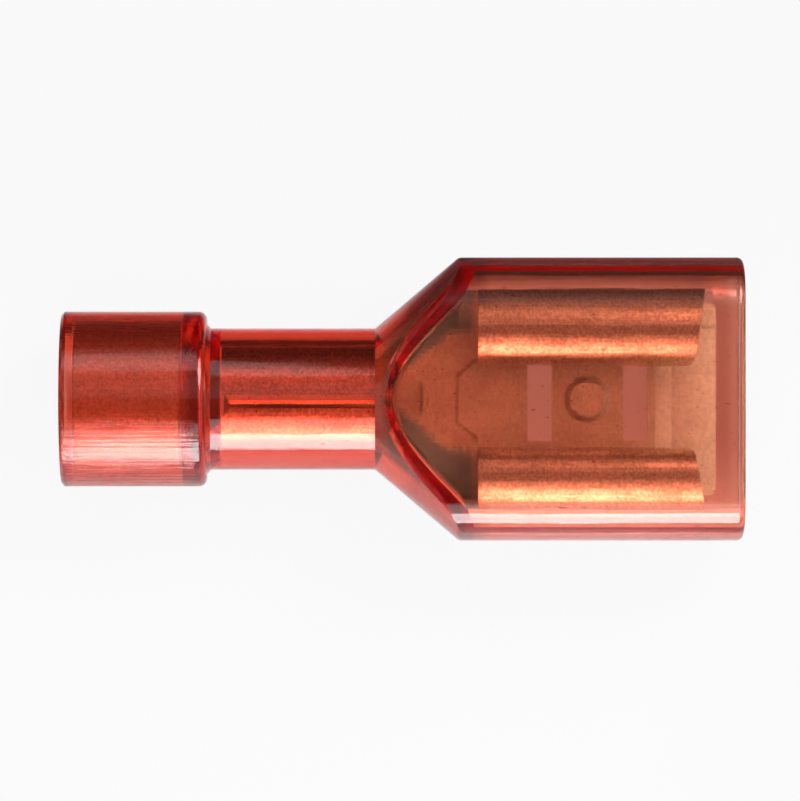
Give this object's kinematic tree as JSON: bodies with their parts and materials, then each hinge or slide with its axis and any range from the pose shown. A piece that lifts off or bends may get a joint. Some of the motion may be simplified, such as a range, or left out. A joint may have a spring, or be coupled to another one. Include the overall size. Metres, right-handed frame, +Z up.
{
  "type": "female spade terminal",
  "caption": "Fully insulated female spade terminal: rolled brass receptacle with a crimp barrel and a grip sleeve inside a clear red nylon housing.",
  "frame": {"origin": "under the middle of the terminal's length, on the surface that its collar lies on", "axes": "+X along the terminal from the wire entry to the tab mouth, +Z up, away from the receptacle's floor towards its curls, +Y across the wide face"},
  "size_m": [0.023, 0.0096, 0.0059],
  "materials": {
    "red_nylon": "clear red moulded nylon, glossy",
    "terminal_brass": "rolled brass strip, fine rolling lines",
    "sleeve_brass": "drawn brass tube, fine lines along its length"
  },
  "bodies": {
    "root": {"insulating_housing": "red_nylon", "brass_terminal": "terminal_brass", "grip_sleeve": "sleeve_brass"}
  },
  "joints": []
}
